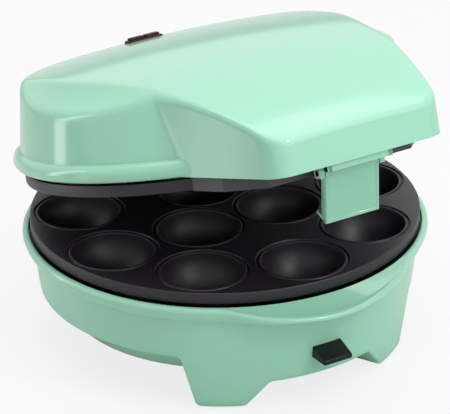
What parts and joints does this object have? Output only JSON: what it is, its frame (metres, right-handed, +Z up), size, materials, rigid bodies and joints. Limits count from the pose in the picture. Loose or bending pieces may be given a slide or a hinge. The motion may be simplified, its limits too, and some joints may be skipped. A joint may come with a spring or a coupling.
{
  "type": "donut maker",
  "caption": "Round tabletop baker with a hooded hinged lid, cupped non-stick plates, a hanging front latch and a plate-release button.",
  "frame": {"origin": "middle of the footprint of the whole object, lid ajar, on the table under the feet", "axes": "+Z up, front (latch and button) towards -Y, +X to the right of someone facing its front"},
  "size_m": [0.205, 0.2442, 0.1662],
  "materials": {
    "mint_shell": "high gloss moulded",
    "mint_lining": "satin moulded",
    "charcoal_lining": "fine texture",
    "non_stick": "dark non-stick coating",
    "pan_steel": "bright sheet",
    "heater_steel": "oxidised sheath",
    "screw_steel": "zinc plated",
    "spring_steel": "drawn wire",
    "pin_steel": "ground",
    "black_button": "gloss moulded",
    "thermostat_metal": "pressed",
    "fuse_body": "plated",
    "terminal_plastic": "moulded",
    "lead_insulation": "braided sleeve",
    "gland_rubber": "matt",
    "pad_rubber": "matt",
    "bezel_plastic": "gloss moulded",
    "red_lens": "clear moulded",
    "green_lens": "clear moulded",
    "holder_plastic": "moulded",
    "lamp_glass": "clear"
  },
  "bodies": {
    "base": {"base_shell": "mint_shell", "bottom_cover": "mint_lining", "foot_pads": "pad_rubber", "cover_screws": "screw_steel", "lower_heat_pan": "pan_steel", "lower_pan_screws": "screw_steel", "lower_heating_element": "heater_steel", "lower_element_clips": "spring_steel", "lower_baking_plate": "non_stick", "release_spring": "spring_steel", "spring_post": "pan_steel", "thermostat": "thermostat_metal", "lower_thermal_fuse": "fuse_body", "terminal_block": "terminal_plastic", "base_wiring": "lead_insulation", "cord_gland": "gland_rubber", "hinge_pin": "pin_steel"},
    "lid": {"lid_shell": "mint_shell", "hood_lining": "charcoal_lining", "lining_screws": "screw_steel", "upper_heat_pan": "pan_steel", "upper_pan_screws": "screw_steel", "upper_heating_element": "heater_steel", "upper_element_clips": "spring_steel", "upper_baking_plate": "non_stick", "upper_thermal_fuse": "fuse_body", "latch_bracket": "mint_lining", "latch_pin": "pin_steel", "lamp_bezel": "bezel_plastic", "power_lens": "red_lens", "ready_lens": "green_lens", "lamp_holder": "holder_plastic", "neon_lamps": "lamp_glass", "lid_wiring": "lead_insulation"},
    "latch": {"lid_latch": "mint_shell"},
    "release": {"release_button": "black_button"}
  },
  "joints": [
    {"name": "lid_hinge", "type": "hinge", "parent": "base", "child": "lid", "pos_m": [0, 0.11612, 0.0702], "axis": [-1, 0, 0], "range_deg": [-15.9, 78]},
    {"name": "latch_pivot", "type": "hinge", "parent": "lid", "child": "latch", "pos_m": [0, -0.11021, 0.13415], "axis": [-1, 0, 0], "range_deg": [-12.4, 55]},
    {"name": "release_slide", "type": "slide", "parent": "base", "child": "release", "axis": [0, 1, 0], "range_m": [0, 0.004], "stiffness_N_per_m": 600, "springref_m": -0.003, "deforming": ["release_spring"]}
  ]
}
